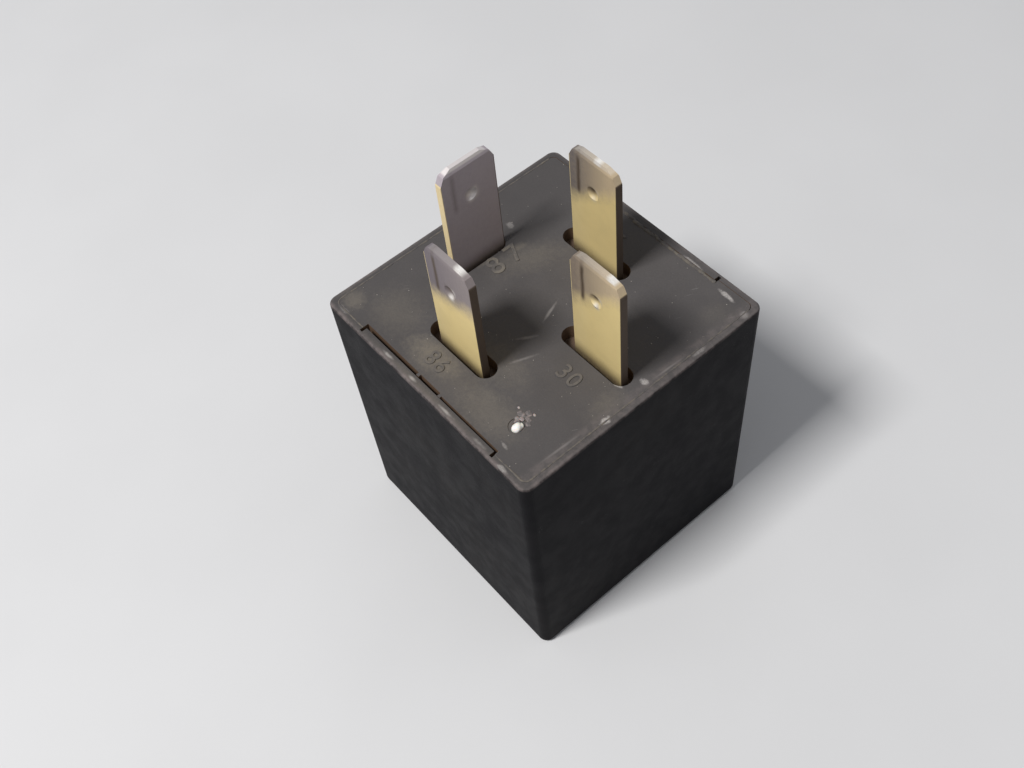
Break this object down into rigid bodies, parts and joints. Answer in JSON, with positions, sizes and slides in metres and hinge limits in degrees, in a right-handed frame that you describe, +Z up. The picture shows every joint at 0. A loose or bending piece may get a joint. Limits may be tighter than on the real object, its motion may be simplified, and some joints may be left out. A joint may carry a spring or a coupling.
{
  "type": "automotive relay",
  "caption": "Plug-in relay: square latched cover, flush base plate, upright flat quick-connect blades, and inside a hinged armature that closes one contact when its coil pulls.",
  "frame": {"origin": "middle of the cover's closed end, on the surface that the relay stands on", "axes": "+Z up along the blades; X crosses the load blades, from terminal 87 to terminal 30; Y crosses the coil blades, from terminal 86 to terminal 85"},
  "size_m": [0.03, 0.03, 0.0466],
  "materials": {
    "cover_plastic": "moulded black nylon, satin, lightly scuffed at the rim",
    "plate_plastic": "black moulded plate under a film of grey-brown dust",
    "blade_brass": "tinned brass, worn to brass low down, dull and tarnished towards the tip",
    "blade_brass_87": "tinned brass, darkened by tarnish",
    "spool_nylon": "natural glass-filled nylon",
    "enamelled_copper": "enamelled copper wire, glossy red-brown",
    "soft_iron": "zinc-plated soft iron",
    "leaf_bronze": "rolled copper alloy strip",
    "rivet_steel": "plated steel",
    "contact_silver": "silver alloy contact face",
    "spring_steel": "drawn spring wire",
    "bare_copper": "bare stranded copper"
  },
  "bodies": {
    "housing": {"cover": "cover_plastic", "base_plate": "plate_plastic", "terminal_30": "blade_brass", "terminal_87": "blade_brass_87", "terminal_85": "blade_brass", "terminal_86": "blade_brass", "bobbin": "spool_nylon", "coil_winding": "enamelled_copper", "coil_core": "soft_iron", "yoke": "soft_iron", "fixed_contact": "contact_silver", "terminal_rivets": "rivet_steel", "return_spring": "spring_steel", "copper_braid": "bare_copper", "coil_lead_85": "enamelled_copper", "coil_lead_86": "enamelled_copper"},
    "moving_arm": {"armature": "soft_iron", "contact_leaf": "leaf_bronze", "leaf_rivets": "rivet_steel", "moving_contact": "contact_silver"}
  },
  "joints": [
    {"name": "armature_swing", "type": "hinge", "parent": "housing", "child": "moving_arm", "pos_m": [0.0101, -0.0006, 0.0064], "axis": [0, 1, 0], "range_deg": [0, 2.5], "stiffness_Nm_per_rad": 0.002, "springref_deg": -20.05, "deforming": ["return_spring"]}
  ]
}
